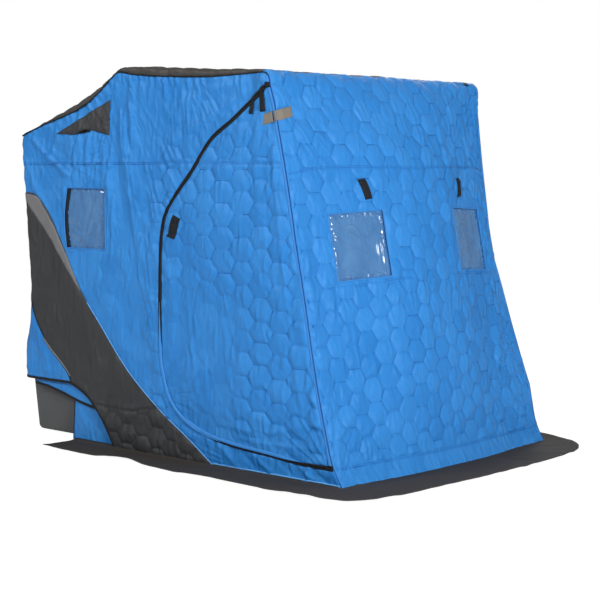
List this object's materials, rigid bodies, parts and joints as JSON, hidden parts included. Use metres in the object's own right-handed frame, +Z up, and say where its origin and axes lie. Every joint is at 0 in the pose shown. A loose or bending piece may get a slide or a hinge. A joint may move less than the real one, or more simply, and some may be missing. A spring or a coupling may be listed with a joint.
{
  "type": "ice fishing hut",
  "caption": "Flip-over ice fishing shelter: quilted insulated cloth cover with windows and two side doors on folding bows, over a moulded sled, with a ground skirt.",
  "frame": {"origin": "on the ice, in the middle of the footprint with its skirts", "axes": "+X to the hut's right when facing its back from the front, +Y from the windowed front wall to the sled, +Z up"},
  "size_m": [2.07, 2.582, 1.921],
  "materials": {
    "elbow_plastic": "moulded nylon",
    "painted_tube": "powder-coated square tube",
    "blue_cloth": "satin quilted polyester",
    "clear_film": "clear flexible vinyl film",
    "charcoal_cloth": "matt coated cloth",
    "zipper": "nylon coil on woven tape",
    "zinc_steel": "zinc-plated steel",
    "sled_plastic": "roto-moulded polyethylene"
  },
  "bodies": {
    "hut": {"bow_elbows": "elbow_plastic", "front_bow_crossbar": "painted_tube", "front_bow_sleeves": "painted_tube", "front_bow_tubes": "painted_tube", "front_hem": "blue_cloth", "front_left_window": "clear_film", "front_right_window": "clear_film", "front_skirt": "charcoal_cloth", "front_wall_lower": "blue_cloth", "front_wall_upper": "blue_cloth", "left_black_panel": "charcoal_cloth", "left_door_sill": "blue_cloth", "left_pivot_bracket": "zinc_steel", "left_rear_panel": "blue_cloth", "left_side_window": "clear_film", "left_skirt": "charcoal_cloth", "left_sled_gusset": "blue_cloth", "left_upper_panel": "blue_cloth", "left_vent_hood": "charcoal_cloth", "left_window_panel": "blue_cloth", "mid_bow_crossbar": "painted_tube", "mid_bow_sleeves": "painted_tube", "mid_bow_tubes": "painted_tube", "rear_bow_crossbar": "painted_tube", "rear_bow_sleeves": "painted_tube", "rear_bow_tubes": "painted_tube", "rear_slope": "charcoal_cloth", "rear_wall": "blue_cloth", "right_black_panel": "charcoal_cloth", "right_door_sill": "blue_cloth", "right_pivot_bracket": "zinc_steel", "right_rear_panel": "blue_cloth", "right_side_window": "clear_film", "right_skirt": "charcoal_cloth", "right_sled_gusset": "blue_cloth", "right_upper_panel": "blue_cloth", "right_vent_hood": "charcoal_cloth", "right_window_panel": "blue_cloth", "roof_panel": "charcoal_cloth", "sled_tub": "sled_plastic"},
    "left_door": {"left_door": "blue_cloth", "left_door_zipper": "zipper"},
    "right_door": {"right_door": "blue_cloth", "right_door_zipper": "zipper"}
  },
  "joints": [
    {"name": "left_door_hinge", "type": "hinge", "parent": "hut", "child": "left_door", "pos_m": [-0.80575, -0.76655, 0.9], "axis": [0.0079, 0.2149, 0.9766], "range_deg": [0, 100]},
    {"name": "right_door_hinge", "type": "hinge", "parent": "hut", "child": "right_door", "pos_m": [0.80575, -0.76655, 0.9], "axis": [-0.0079, 0.2149, 0.9766], "range_deg": [-100, 0]}
  ]
}
